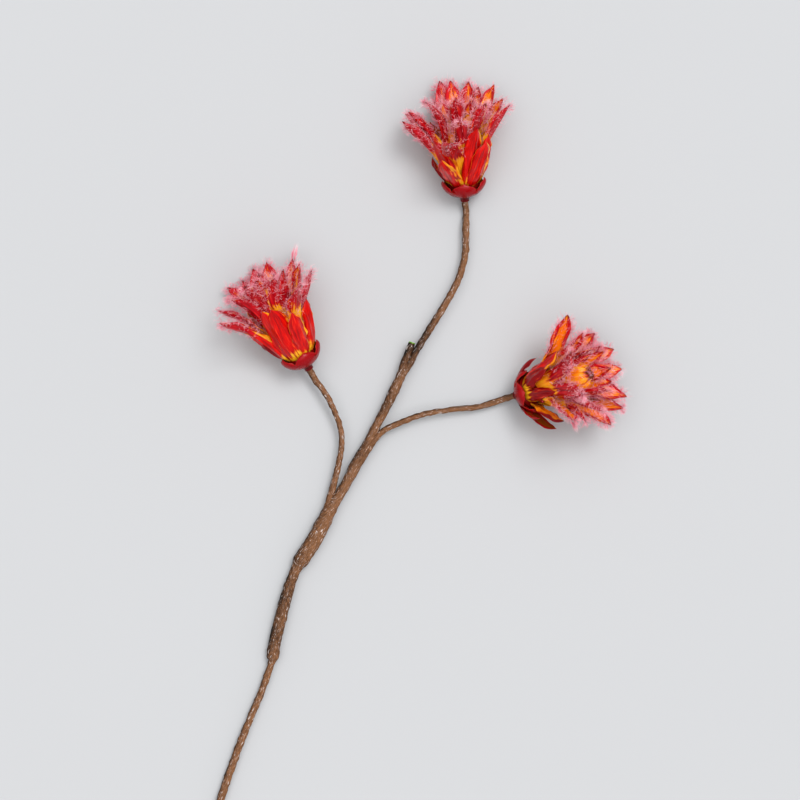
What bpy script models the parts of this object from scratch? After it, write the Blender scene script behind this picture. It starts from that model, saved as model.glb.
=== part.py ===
"""A cut spray of king protea, lying down: a taped stalk with three branches, each with one bloom.

Metres, +Z up. The spray lies on z = 0 with the middle of its box over the origin. Its stalk runs
along +Y, and what faces up here faces the viewer when the spray is held upright.
"""

import math
import random
from collections import namedtuple

import bmesh
import bpy
from mathutils import Matrix, Vector

# Sizes that everything else follows, in metres, with angles in degrees
GAP = 0.00035
MERGE = 1e-6
SMOOTH_BELOW = 40
FLOOR_DEPTH = 0.03
STALK_SIDES = 10
BRANCH_SIDES = 8
RING_SPACING = 0.011

COLLAR_LENGTH = 0.0032
COLLAR_FLARE = COLLAR_LENGTH / 3
COLLAR_RADIUS = 0.0035
SOCKET_RADIUS = 0.0021
SOCKET_TOP = 0.0018
CUP_SIDES = 18
CUP_STEPS = range(2, 12, 3)
CUP_WALL = 0.0016
CUP_INSET = 0.0006

BLADE_THICKNESS = 0.0012
SPINE_STEPS = 20

CORE = ((0.0130, 0.0125), (0.0118, 0.0220), (0.0105, 0.0330), (0.0080, 0.0460), (0.0050, 0.0530))
CORE_TOP = 0.0555
CORE_SIDES = 18

Kind = namedtuple("Kind", "height radius lean fold root widest tip taper rows")
Petal = namedtuple("Petal", "kind azimuth length width middle tip roll sway")
Whorl = namedtuple("Whorl", "kind count first span length width middle tip loose")
Bloom = namedtuple("Bloom", "name base heading tilt seed turn flare placed")

# What all blades of one kind share: height, radius and lean of the root, half the angle that the
# section turns through, the width's shares at root and tip, where along the blade it is widest,
# the two powers of its taper from there, and its steps along its length. Lean is the angle from
# the bloom's axis.
BLUNT = (2.8, 0.58)
POINTED = (1.7, 0.8)
KINDS = {
    "bract": Kind(0.0012, 0.0045, 80, 32, 0.60, 0.45, 0.16, POINTED, 3),
    "claw": Kind(0.0006, 0.0045, 76, 34, 0.60, 0.40, 0.16, POINTED, 5),
    "sepal": Kind(0.0085, 0.0075, 46, 34, 0.62, 0.42, 0.20, POINTED, 4),
    "smooth": Kind(0.0090, 0.0080, 48, 44, 0.68, 0.50, 0.34, BLUNT, 3),
    "hairy": Kind(0.0135, 0.0065, 25, 46, 0.45, 0.66, 0.55, BLUNT, 4),
    "inner": Kind(0.0160, 0.0060, 17, 46, 0.45, 0.66, 0.55, BLUNT, 4),
    "heart": Kind(0.0190, 0.0050, 12, 48, 0.45, 0.62, 0.45, BLUNT, 3),
    "bud": Kind(0.0220, 0.0040, 6, 50, 0.45, 0.66, 0.30, BLUNT, 3),
}

# How far a petal strays from its whorl's rule: degrees of azimuth, share of length, degrees of
# lean, of roll about its spine, and of sideways sway at its tip
STRAY = (4.0, 0.06, 5.0, 11.0, 7.0)

# Whorls run evenly over a span of azimuth from their first. Middle and tip are leans there, and
# loose is the share of STRAY that they take.
BRACTS = Whorl("bract", 5, 0, 360, 0.0225, 0.0200, 40, 12, 0.4)
WHORLS = (
    Whorl("smooth", 3, 200, 140, 0.053, 0.0142, 18, 32, 1.0),
    Whorl("hairy", 2, 225, 90, 0.062, 0.0136, 30, 54, 1.0),
    Whorl("heart", 5, 150, 240, 0.060, 0.0132, 11, 24, 1.0),
    Whorl("bud", 5, 0, 360, 0.0525, 0.0156, 10, -52, 0.3),
)

# A bloom's turn is added to its bracts' azimuth and its flare to their lean. Then come the petals
# that are placed by hand: kind, azimuth, length, width, lean at the middle and the tip, roll
# about the spine and sway at the tip.
BLOOMS = (
    Bloom("top", (0.0481, 0.2475, 0.0099), 95, 24, 44, -18, 0, (
        ("sepal", 359, 0.0319, 0.0090, 33, 28, 25, 2),
        ("smooth", 55, 0.0548, 0.0140, 21, 50, 0, -6),
        ("smooth", 63, 0.0473, 0.0120, 44, 46, 0, 2),
        ("smooth", 109, 0.0603, 0.0125, 13, 54, 0, 6),
        ("smooth", 125, 0.0512, 0.0140, 27, 35, 0, 1),
        ("smooth", 158, 0.0471, 0.0110, 16, 31, -25, -5),
        ("hairy", 172, 0.0707, 0.0125, 27, 57, -25, -6),
        ("hairy", 9, 0.0681, 0.0125, 36, 53, 35, 3),
        ("hairy", 4, 0.0711, 0.0125, 25, 57, 30, 8),
        ("hairy", 342, 0.0660, 0.0130, 33, 62, -20, 0),
        ("hairy", 22, 0.0786, 0.0110, 9, 69, -10, 13),
        ("hairy", 71, 0.0694, 0.0140, 45, 71, 0, 10),
        ("hairy", 93, 0.0721, 0.0100, 24, 65, 0, -4),
        ("inner", 293, 0.0771, 0.0125, 26, 52, 0, -6),
        ("inner", 300, 0.0680, 0.0120, 29, 62, 0, -8),
        ("inner", 275, 0.0757, 0.0130, 23, 55, 0, 0),
        ("inner", 80, 0.0781, 0.0100, 10, 63, 0, 4),
        ("inner", 253, 0.0747, 0.0130, 27, 55, 0, 1),
        ("inner", 239, 0.0712, 0.0130, 30, 54, 0, 4),
        ("inner", 219, 0.0746, 0.0125, 30, 48, 0, 3),
        ("inner", 206, 0.0670, 0.0120, 35, 57, 0, 3),
        ("inner", 137, 0.0726, 0.0120, 17, 60, 0, -6),
    )),
    Bloom("left", (-0.0744, 0.1157, 0.0173), 119, 22, 78, -12, -5, (
        ("sepal", 8, 0.0360, 0.0120, 26, 34, 25, 7),
        ("smooth", 81, 0.0578, 0.0150, 9, 42, 0, 4),
        ("smooth", 108, 0.0520, 0.0120, 23, 38, 0, 2),
        ("smooth", 159, 0.0482, 0.0110, 18, 44, -25, -4),
        ("smooth", 17, 0.0480, 0.0125, 20, 57, 25, 8),
        ("smooth", 59, 0.0594, 0.0130, 5, 54, 0, 9),
        ("hairy", 130, 0.0730, 0.0135, 28, 79, 0, -3),
        ("hairy", 63, 0.0873, 0.0125, 8, 77, 0, 9),
        ("hairy", 103, 0.0829, 0.0140, 12, 78, 0, 2),
        ("hairy", 356, 0.0716, 0.0120, 25, 60, 32, 6),
        ("hairy", 18, 0.0751, 0.0100, 35, 58, 30, 15),
        ("hairy", 24, 0.0790, 0.0125, 11, 69, 15, 13),
        ("hairy", 306, 0.0755, 0.0100, 31, 73, 0, -4),
        ("inner", 290, 0.0711, 0.0125, 36, 72, 0, -4),
        ("inner", 277, 0.0741, 0.0130, 34, 66, 0, -6),
        ("inner", 258, 0.0718, 0.0135, 29, 58, 0, -4),
        ("inner", 124, 0.0797, 0.0090, 19, 57, 0, 2),
        ("inner", 223, 0.0686, 0.0110, 33, 55, 0, -1),
        ("inner", 206, 0.0643, 0.0125, 30, 55, 0, -2),
        ("inner", 177, 0.0636, 0.0120, 34, 59, -25, -6),
        ("inner", 88, 0.0833, 0.0130, 13, 67, 0, 0),
    )),
    Bloom("right", (0.0900, 0.0932, 0.0150), 17, 35, 145, 54, -3, (
        ("claw", 11, 0.0355, 0.0085, 32, 19, 45, -1),
        ("claw", 180, 0.0415, 0.0100, 50, 28, 45, -2),
        ("claw", 148, 0.0336, 0.0095, 46, 32, 30, -1),
        ("claw", 268, 0.0300, 0.0095, 60, 36, 0, 0),
        ("sepal", 56, 0.0390, 0.0140, 20, 35, 0, -2),
        ("sepal", 164, 0.0399, 0.0105, 41, 36, 30, 1),
        ("sepal", 108, 0.0411, 0.0120, 11, 36, 0, 2),
        ("smooth", 32, 0.0539, 0.0120, 16, 60, 0, 8),
        ("hairy", 8, 0.0696, 0.0130, 40, 53, 20, -3),
        ("hairy", 350, 0.0647, 0.0100, 21, 44, -20, 9),
        ("hairy", 315, 0.0628, 0.0130, 43, 61, 0, -7),
        ("hairy", 224, 0.0687, 0.0130, 40, 61, 0, 1),
        ("hairy", 201, 0.0662, 0.0110, 35, 65, 20, -7),
        ("hairy", 135, 0.0640, 0.0115, 40, 64, 30, -1),
        ("hairy", 155, 0.0638, 0.0100, 31, 70, -30, -11),
        ("hairy", 64, 0.0725, 0.0125, 20, 73, 0, -5),
        ("hairy", 112, 0.0719, 0.0125, 22, 59, 0, -1),
        ("inner", 300, 0.0665, 0.0135, 31, 47, 0, -11),
        ("inner", 328, 0.0644, 0.0125, 13, 22, 0, 4),
        ("inner", 270, 0.0671, 0.0130, 27, 54, 0, -7),
        ("inner", 237, 0.0693, 0.0130, 30, 57, 0, -8),
        ("inner", 138, 0.0690, 0.0120, 24, 50, 0, 20),
    )),
)

# Routes by hand: the centre's x, y and z, and the radius there
STALK = (
    (-0.1738, -0.3404, 0.0029, 0.0033),
    (-0.1666, -0.3104, 0.0032, 0.0033),
    (-0.1555, -0.2668, 0.0038, 0.0032),
    (-0.1424, -0.2231, 0.0043, 0.0032),
    (-0.1337, -0.1970, 0.0047, 0.0031),
    (-0.1217, -0.1654, 0.0052, 0.0029),
    (-0.1115, -0.1412, 0.0055, 0.0028),
    (-0.1030, -0.1170, 0.0058, 0.0027),
    (-0.1018, -0.1119, 0.0060, 0.0052),
    (-0.0997, -0.0983, 0.0063, 0.0049),
    (-0.0921, -0.0680, 0.0068, 0.0048),
    (-0.0867, -0.0505, 0.0071, 0.0041),
    (-0.0824, -0.0410, 0.0073, 0.0044),
    (-0.0796, -0.0363, 0.0075, 0.0063),
    (-0.0693, -0.0203, 0.0078, 0.0062),
    (-0.0615, -0.0055, 0.0082, 0.0059),
    (-0.0558, 0.0055, 0.0084, 0.0051),
    (-0.0495, 0.0149, 0.0087, 0.0040),
    (-0.0435, 0.0253, 0.0089, 0.0040),
    (-0.0373, 0.0374, 0.0092, 0.0046),
    (-0.0318, 0.0472, 0.0094, 0.0043),
    (-0.0265, 0.0569, 0.0096, 0.0036),
    (-0.0193, 0.0716, 0.0098, 0.0035),
    (-0.0123, 0.0850, 0.0100, 0.0036),
    (-0.0078, 0.0944, 0.0101, 0.0041),
    (-0.0022, 0.1065, 0.0102, 0.0037),
    (0.0014, 0.1186, 0.0103, 0.0031),
    (0.0055, 0.1291, 0.0104, 0.0030),
    (0.0073, 0.1338, 0.0104, 0.0025),
)
BRANCHES = {
    "top": (
        (-0.0051, 0.0991, 0.0102, 0.0026),
        (0.0012, 0.1104, 0.0104, 0.0027),
        (0.0066, 0.1195, 0.0106, 0.0027),
        (0.0120, 0.1299, 0.0107, 0.0027),
        (0.0176, 0.1388, 0.0108, 0.0027),
        (0.0244, 0.1498, 0.0108, 0.0028),
        (0.0338, 0.1650, 0.0106, 0.0028),
        (0.0427, 0.1817, 0.0102, 0.0027),
        (0.0473, 0.1966, 0.0090, 0.0026),
        (0.0490, 0.2090, 0.0080, 0.0028),
        (0.0491, 0.2246, 0.0071, 0.0028),
    ),
    "left": (
        (-0.0659, -0.0117, 0.0083, 0.0027),
        (-0.0612, -0.0016, 0.0086, 0.0027),
        (-0.0566, 0.0140, 0.0090, 0.0027),
        (-0.0530, 0.0273, 0.0094, 0.0027),
        (-0.0495, 0.0421, 0.0098, 0.0024),
        (-0.0477, 0.0571, 0.0106, 0.0022),
        (-0.0495, 0.0696, 0.0115, 0.0022),
        (-0.0540, 0.0819, 0.0124, 0.0022),
        (-0.0597, 0.0928, 0.0134, 0.0023),
    ),
    "right": (
        (-0.0335, 0.0398, 0.0093, 0.0025),
        (-0.0267, 0.0507, 0.0095, 0.0025),
        (-0.0215, 0.0585, 0.0098, 0.0025),
        (-0.0152, 0.0649, 0.0101, 0.0023),
        (-0.0060, 0.0697, 0.0104, 0.0023),
        (0.0055, 0.0743, 0.0106, 0.0023),
        (0.0183, 0.0783, 0.0106, 0.0022),
        (0.0295, 0.0803, 0.0102, 0.0022),
        (0.0414, 0.0819, 0.0095, 0.0022),
        (0.0534, 0.0828, 0.0086, 0.0023),
        (0.0632, 0.0847, 0.0077, 0.0024),
    ),
}
NECK_RADIUS = 0.0026
NECK_RUN = 0.011
PEG_RADIUS = SOCKET_RADIUS - GAP
PEG_STEP = 1e-5


def clear_scene():
    for obj in list(bpy.data.objects):
        bpy.data.objects.remove(obj, do_unlink=True)


def material(name, colour, roughness):
    made = bpy.data.materials.new(name)
    made.use_nodes = True
    shader = made.node_tree.nodes["Principled BSDF"]
    shader.inputs["Base Color"].default_value = (*colour, 1)
    shader.inputs["Roughness"].default_value = roughness
    return made


def mesh_object(name, points, faces):
    mesh = bpy.data.meshes.new(name)
    mesh.from_pydata(points, [], faces)
    obj = bpy.data.objects.new(name, mesh)
    bpy.context.scene.collection.objects.link(obj)
    return obj


def apply_modifiers(obj):
    shape = obj.evaluated_get(bpy.context.evaluated_depsgraph_get())
    before = obj.data
    obj.data = bpy.data.meshes.new_from_object(shape)
    obj.modifiers.clear()
    bpy.data.meshes.remove(before)


def keep_outer_shell(obj):
    """Drops loose scraps and sealed hollows, which a union of many blades can leave."""
    mesh = bmesh.new()
    mesh.from_mesh(obj.data)
    unseen = set(mesh.verts)
    shells = []
    while unseen:
        shell = set()
        edge = {unseen.pop()}
        while edge:
            shell |= edge
            edge = {other.other_vert(v) for v in edge for other in v.link_edges} - shell
        unseen -= shell
        shells.append(shell)
    outer = max(shells, key=len)
    bmesh.ops.delete(mesh, geom=[v for v in mesh.verts if v not in outer], context="VERTS")
    bmesh.ops.triangulate(mesh, faces=mesh.faces[:])
    mesh.to_mesh(obj.data)
    mesh.free()


def fuse(body, pieces):
    """Joins the pieces to the body that they grow from, as one solid."""
    group = bpy.data.collections.new(body.name + "_pieces")
    bpy.context.scene.collection.children.link(group)
    for piece in pieces:
        bpy.context.scene.collection.objects.unlink(piece)
        group.objects.link(piece)
    union = body.modifiers.new("Union", "BOOLEAN")
    union.operation = "UNION"
    union.operand_type = "COLLECTION"
    union.collection = group
    apply_modifiers(body)
    for piece in pieces:
        bpy.data.objects.remove(piece, do_unlink=True)
    bpy.data.collections.remove(group)
    keep_outer_shell(body)


def along_spine(petal):
    """The radius, height and lean of a blade's spine at equal steps from its root."""
    kind = KINDS[petal.kind]
    leans = (kind.lean, petal.middle, petal.tip)
    radius = kind.radius
    height = kind.height
    step = petal.length / SPINE_STEPS
    spine = []
    for i in range(SPINE_STEPS + 1):
        spine.append((radius, height, lean_at(leans, i / SPINE_STEPS)))
        lean = lean_at(leans, (i + 0.5) / SPINE_STEPS)
        radius += step * math.sin(lean)
        height += step * math.cos(lean)
    return spine


def lean_at(lean, along):
    """The curve through the leans at root, middle and tip, in radians."""
    root, middle, tip = lean
    return math.radians(
        root * (1 - along) * (1 - 2 * along)
        + 4 * middle * along * (1 - along)
        + tip * along * (2 * along - 1)
    )


def half_width(petal, along):
    """Half a blade's width: it grows from the root to where its kind is widest, then tapers."""
    kind = KINDS[petal.kind]
    if along < kind.widest:
        rise = math.sin(math.pi / 2 * along / kind.widest)
        share = kind.root + (1 - kind.root) * rise
    else:
        past = (along - kind.widest) / (1 - kind.widest)
        share = (1 - past ** kind.taper[0]) ** kind.taper[1]
    return petal.width / 2 * max(share, kind.tip)


def blade_point(petal, spine, along, across):
    """A point of the blade's middle surface and the direction its inner face looks in."""
    before = min(int(along * SPINE_STEPS), SPINE_STEPS - 1)
    share = along * SPINE_STEPS - before
    radius, height, lean = (
        a + (b - a) * share for a, b in zip(spine[before], spine[before + 1])
    )
    azimuth = math.radians(petal.azimuth + petal.sway * along**2)
    outward = Vector((math.cos(azimuth), math.sin(azimuth), 0))
    sideways = Vector((-math.sin(azimuth), math.cos(azimuth), 0))
    inward = Vector((0, 0, math.sin(lean))) - outward * math.cos(lean)
    roll = math.radians(petal.roll * along)
    side = sideways * math.cos(roll) + inward * math.sin(roll)
    face = inward * math.cos(roll) - sideways * math.sin(roll)
    fold = math.radians(KINDS[petal.kind].fold)
    turn = fold * across
    half = half_width(petal, along)
    point = outward * radius + Vector((0, 0, height))
    point += side * half * math.sin(turn) / fold
    point += face * half * (1 - math.cos(turn)) / fold
    return point, face * math.cos(turn) - side * math.sin(turn)


def blade(name, petal):
    """One closed blade, three points across, its two faces split into triangles alike."""
    spine = along_spine(petal)
    across = (-1, 0, 1)
    steps = KINDS[petal.kind].rows
    rows = steps + 1
    outer = []
    inner = []
    for i in range(rows):
        for u in across:
            point, face = blade_point(petal, spine, i / steps, u)
            outer.append(point - face * BLADE_THICKNESS / 2)
            inner.append(point + face * BLADE_THICKNESS / 2)
    columns = len(across)
    back = rows * columns
    faces = []
    for i in range(rows - 1):
        for j in range(columns - 1):
            a = i * columns + j
            b, c, d = a + 1, a + columns + 1, a + columns
            faces += [(a, b, c), (a, c, d)]
            faces += [(back + c, back + b, back + a), (back + d, back + c, back + a)]
    rim = list(range(columns))
    rim += [i * columns + columns - 1 for i in range(1, rows)]
    rim += [(rows - 1) * columns + j for j in range(columns - 2, -1, -1)]
    rim += [i * columns for i in range(rows - 2, 0, -1)]
    for a, b in zip(rim, rim[1:] + rim[:1]):
        faces += [(b, a, back + a), (b, back + a, back + b)]
    return mesh_object(name, outer + inner, faces)


def whorl_petals(whorl, turn, draw):
    """The blades of one whorl, evenly spaced and then each let stray a little."""
    made = []
    for i in range(whorl.count):
        stray = [whorl.loose * amount * draw.uniform(-1, 1) for amount in STRAY]
        made.append(Petal(
            whorl.kind,
            turn + whorl.first + whorl.span * (i + 0.5) / whorl.count + stray[0],
            whorl.length * (1 + stray[1]),
            whorl.width,
            whorl.middle + stray[2] / 2,
            whorl.tip + stray[2],
            stray[3],
            stray[4],
        ))
    return made


def bloom_bracts(bloom):
    """The short bracts round the cup and the long ones placed by hand."""
    draw = random.Random(bloom.seed)
    placed = [Petal(*row) for row in bloom.placed if row[0] == "claw"]
    middle = BRACTS.middle + bloom.flare / 2
    ring = BRACTS._replace(middle=middle, tip=BRACTS.tip + bloom.flare)
    return whorl_petals(ring, bloom.turn, draw) + placed


def bloom_petals(bloom):
    """Every blade of a bloom's head: those placed by hand, then the whorls that fill it."""
    draw = random.Random(bloom.seed)
    petals = [Petal(*row) for row in bloom.placed if row[0] != "claw"]
    for whorl in WHORLS:
        petals += whorl_petals(whorl, 0, draw)
    return petals


def cup_line(inset):
    """(radius, height) of the cup's turned wall, set in from the bracts' spine by inset."""
    bract = Petal("bract", 0, BRACTS.length, BRACTS.width, BRACTS.middle, BRACTS.tip, 0, 0)
    spine = along_spine(bract)
    line = []
    for step in CUP_STEPS:
        radius, height, lean = spine[step]
        line.append((radius - inset * math.cos(lean), height + inset * math.sin(lean)))
    return line


def turned(name, outline, sides):
    """A solid of revolution from an outline of (radius, height) that starts and ends at the axis."""
    mesh = bmesh.new()
    points = [mesh.verts.new((radius, 0, height)) for radius, height in outline]
    edges = [mesh.edges.new(pair) for pair in zip(points, points[1:])]
    bmesh.ops.spin(
        mesh, geom=points + edges, cent=(0, 0, 0), axis=(0, 0, 1), angle=math.tau,
        steps=sides, use_merge=True,
    )
    bmesh.ops.remove_doubles(mesh, verts=mesh.verts[:], dist=MERGE)
    bmesh.ops.recalc_face_normals(mesh, faces=mesh.faces[:])
    bmesh.ops.triangulate(mesh, faces=mesh.faces[:])
    data = bpy.data.meshes.new(name)
    mesh.to_mesh(data)
    mesh.free()
    obj = bpy.data.objects.new(name, data)
    bpy.context.scene.collection.objects.link(obj)
    return obj


def make_calyx(bloom):
    """The cup with its neck collar and socket, and the short bracts grown from it."""
    wall = cup_line(CUP_INSET)
    lining = cup_line(CUP_INSET + CUP_WALL)
    outline = [(0, SOCKET_TOP), (SOCKET_RADIUS, SOCKET_TOP), (SOCKET_RADIUS, -COLLAR_LENGTH)]
    outline += [(COLLAR_RADIUS, -COLLAR_LENGTH), (COLLAR_RADIUS, -COLLAR_FLARE)]
    outline += wall + lining[::-1]
    outline += [(0, lining[0][1])]
    cup = turned(bloom.name + "_calyx", outline, CUP_SIDES)
    fuse(cup, [blade("bract", bract) for bract in bloom_bracts(bloom)])
    return cup


def make_petals(bloom):
    """The small core, seated in the cup, and every blade that grows from it."""
    seat = cup_line(CUP_INSET + CUP_WALL + GAP)
    outline = [(0, seat[0][1]), *seat, *CORE, (0, CORE_TOP)]
    core = turned(bloom.name + "_petals", outline, CORE_SIDES)
    fuse(core, [blade("petal", petal) for petal in bloom_petals(bloom)])
    return core


def axis_of(bloom):
    heading = math.radians(bloom.heading)
    tilt = math.radians(bloom.tilt)
    flat = math.cos(tilt)
    return Vector((flat * math.cos(heading), flat * math.sin(heading), math.sin(tilt)))


def placement(bloom):
    """From the bloom's own frame, +Z along its axis and +Y on its upper side, to the spray's."""
    axis = axis_of(bloom)
    upper = (Vector((0, 0, 1)) - axis * axis.z).normalized()
    turn = Matrix((upper.cross(axis), upper, axis)).transposed()
    return Matrix.Translation(bloom.base) @ turn.to_4x4()


def smooth_route(route):
    """(centre, radius) along a Catmull-Rom curve through the route's points."""
    points = [Vector(p[:3]) for p in route]
    ends = [2 * points[0] - points[1]] + points + [2 * points[-1] - points[-2]]
    out = []
    for i in range(len(route) - 1):
        a, b, c, d = ends[i:i + 4]
        steps = max(1, round((c - b).length / RING_SPACING))
        for k in range(steps):
            t = k / steps
            centre = 0.5 * (
                2 * b + (c - a) * t + (2 * a - 5 * b + 4 * c - d) * t**2
                + (3 * b - a - 3 * c + d) * t**3
            )
            out.append((centre, route[i][3] + (route[i + 1][3] - route[i][3]) * t))
    out.append((points[-1], route[-1][3]))
    return out


def tube(name, rings, sides):
    """A round bar through rings of (centre, radius), with flat ends."""
    points = []
    side = Vector((0, 0, 1))
    for i, (centre, radius) in enumerate(rings):
        ahead = rings[min(i + 1, len(rings) - 1)][0]
        behind = rings[max(i - 1, 0)][0]
        along = (ahead - behind).normalized()
        side = (side - along * side.dot(along)).normalized()
        other = along.cross(side)
        for k in range(sides):
            turn = math.tau * (k + 0.5) / sides
            points.append(centre + side * radius * math.cos(turn) + other * radius * math.sin(turn))
    faces = [tuple(range(sides))[::-1]]
    for i in range(len(rings) - 1):
        for k in range(sides):
            a = i * sides + k
            b = i * sides + (k + 1) % sides
            faces.append((a, b, b + sides, a + sides))
    last = (len(rings) - 1) * sides
    faces.append(tuple(range(last, last + sides)))
    return mesh_object(name, points, faces)


def branch_rings(bloom):
    """A branch's rings, up to a shoulder under the bloom's collar and the peg in its socket."""
    axis = axis_of(bloom)
    base = Vector(bloom.base)
    shoulder = base - axis * (COLLAR_LENGTH + GAP)
    below = shoulder - axis * NECK_RUN
    route = BRANCHES[bloom.name] + ((*below, NECK_RADIUS), (*shoulder, NECK_RADIUS))
    peg_top = base + axis * (SOCKET_TOP - GAP)
    return smooth_route(route) + [(shoulder + axis * PEG_STEP, PEG_RADIUS), (peg_top, PEG_RADIUS)]


def make_stem():
    """The taped stalk with its stub and the three branches taped into it."""
    stem = tube("stem", smooth_route(STALK), STALK_SIDES)
    fuse(stem, [tube("branch", branch_rings(bloom), BRANCH_SIDES) for bloom in BLOOMS])
    return stem


def floor_cutter():
    """A slab under z = 0. It gives what touches the surface a small flat to rest on."""
    mesh = bmesh.new()
    bmesh.ops.create_cube(mesh, size=1)
    data = bpy.data.meshes.new("floor_cutter")
    mesh.to_mesh(data)
    mesh.free()
    cutter = bpy.data.objects.new("floor_cutter", data)
    bpy.context.scene.collection.objects.link(cutter)
    cutter.scale = (1, 1, FLOOR_DEPTH)
    cutter.location = (0, 0, -FLOOR_DEPTH / 2)
    cutter.hide_render = True
    cutter.display_type = "WIRE"
    return cutter


def finish(obj, surface, spray, cutter):
    """Gives a piece its material and smooth shading, and lets it rest on the floor."""
    obj.data.materials.append(surface)
    obj.data.shade_smooth()
    obj.data.set_sharp_from_angle(angle=math.radians(SMOOTH_BELOW))
    obj.parent = spray
    flat = obj.modifiers.new("Rest", "BOOLEAN")
    flat.operation = "DIFFERENCE"
    flat.object = cutter


def main():
    clear_scene()
    bark = material("brown_paper_tape", (0.25, 0.15, 0.08), 0.8)
    calyx_red = material("dark_red_bract", (0.24, 0.01, 0.012), 0.4)
    petal_red = material("red_and_orange_petal", (0.6, 0.06, 0.03), 0.5)
    cutter = floor_cutter()
    spray = bpy.data.objects.new("protea_spray", None)
    bpy.context.scene.collection.objects.link(spray)
    finish(make_stem(), bark, spray, cutter)
    for bloom in BLOOMS:
        for piece, surface in ((make_calyx(bloom), calyx_red), (make_petals(bloom), petal_red)):
            finish(piece, surface, spray, cutter)
            piece.matrix_world = placement(bloom)


main()
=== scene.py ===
"""Finish of a king protea spray: taped stalk, red bracts, airbrushed petals and their pink fibres.

Metres, +Z up. The stalk, bracts and petals each take the place of a plain solid and follow the
same formulas, with the thickness, breadth, rims, tips and curl that the plain solid leaves out.
"""

import math
import random
from collections import namedtuple
from functools import partial

import bpy
import numpy as np
from bpy.props import FloatProperty, FloatVectorProperty, IntProperty, PointerProperty
from mathutils import Matrix, Vector, noise


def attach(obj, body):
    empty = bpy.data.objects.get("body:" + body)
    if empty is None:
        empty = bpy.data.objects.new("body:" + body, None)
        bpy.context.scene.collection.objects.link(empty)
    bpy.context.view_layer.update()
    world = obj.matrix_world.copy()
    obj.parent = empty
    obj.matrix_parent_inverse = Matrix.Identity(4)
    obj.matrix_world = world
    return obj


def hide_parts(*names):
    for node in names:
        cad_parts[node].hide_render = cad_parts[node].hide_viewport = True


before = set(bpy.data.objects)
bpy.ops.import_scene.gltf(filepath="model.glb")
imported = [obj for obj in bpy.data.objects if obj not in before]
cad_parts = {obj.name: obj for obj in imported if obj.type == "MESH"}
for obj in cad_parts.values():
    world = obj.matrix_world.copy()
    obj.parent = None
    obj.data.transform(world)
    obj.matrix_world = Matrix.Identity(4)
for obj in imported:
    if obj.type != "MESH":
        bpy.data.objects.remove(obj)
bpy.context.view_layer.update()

bl_info = {
    "name": "King Protea Spray",
    "version": (1, 0, 0),
    "blender": (4, 5, 0),
    "location": "View3D > Sidebar > Protea",
    "description": "Builds the stalk, bracts, petals and fibres of a king protea spray",
    "category": "Add Mesh",
}

# Sizes and rules that the plain solids follow too, in metres and degrees
GAP = 0.00035
COLLAR_LENGTH = 0.0032
COLLAR_FLARE = COLLAR_LENGTH / 3
COLLAR_RADIUS = 0.0035
SOCKET_RADIUS = 0.0021
SOCKET_TOP = 0.0018
CUP_STEPS = range(2, 12)
CUP_WALL = 0.0016
CUP_INSET = 0.0006
SPINE_STEPS = 20
CORE = ((0.0118, 0.022), (0.0105, 0.033), (0.008, 0.046), (0.005, 0.053))
CORE_TOP = 0.0555

Kind = namedtuple("Kind", "height radius lean fold root widest tip taper")
Petal = namedtuple("Petal", "kind azimuth length width middle tip roll sway tone")
Whorl = namedtuple("Whorl", "kind count first span length width middle tip loose")
Bloom = namedtuple("Bloom", "name base heading tilt seed turn flare placed")

# What all blades of one kind share: height, radius and lean of the root, half the angle that the
# section turns through, the width's share at the root, where along the blade it is widest, the
# width's share at the tip, and the two powers of the taper between them. Lean is the angle from
# the bloom's axis. The smooth petals' roots are broader than their solids'.
BLUNT = (2.8, 0.58)
POINTED = (1.7, 0.8)
KINDS = {
    "bract": Kind(0.0012, 0.0045, 80, 32, 0.6, 0.45, 0.16, POINTED),
    "claw": Kind(0.0006, 0.0045, 76, 34, 0.6, 0.4, 0.16, POINTED),
    "sepal": Kind(0.0085, 0.0075, 46, 34, 0.62, 0.42, 0.2, POINTED),
    "smooth": Kind(0.009, 0.008, 48, 44, 0.88, 0.5, 0.34, BLUNT),
    "hairy": Kind(0.0135, 0.0065, 25, 46, 0.45, 0.66, 0.55, BLUNT),
    "inner": Kind(0.016, 0.006, 17, 46, 0.45, 0.66, 0.55, BLUNT),
    "heart": Kind(0.019, 0.005, 12, 48, 0.45, 0.62, 0.45, BLUNT),
    "bud": Kind(0.022, 0.004, 6, 50, 0.45, 0.66, 0.3, BLUNT),
}

# How far a petal strays from its whorl's rule: degrees of azimuth, share of length, degrees of
# lean, of roll about its spine, and of sideways sway at its tip
STRAY = (4, 0.06, 5, 11, 7)

# Whorls run evenly over a span of azimuth from their first. Middle and tip are leans there, and
# loose is the share of STRAY that they take.
BRACTS = Whorl("bract", 5, 0, 360, 0.0225, 0.02, 40, 12, 0.4)
WHORLS = (
    Whorl("smooth", 3, 200, 140, 0.053, 0.0142, 18, 32, 1),
    Whorl("hairy", 2, 225, 90, 0.062, 0.0136, 30, 54, 1),
    Whorl("heart", 5, 150, 240, 0.06, 0.0132, 11, 24, 1),
    Whorl("bud", 5, 0, 360, 0.0525, 0.0156, 10, -52, 0.3),
)

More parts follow.
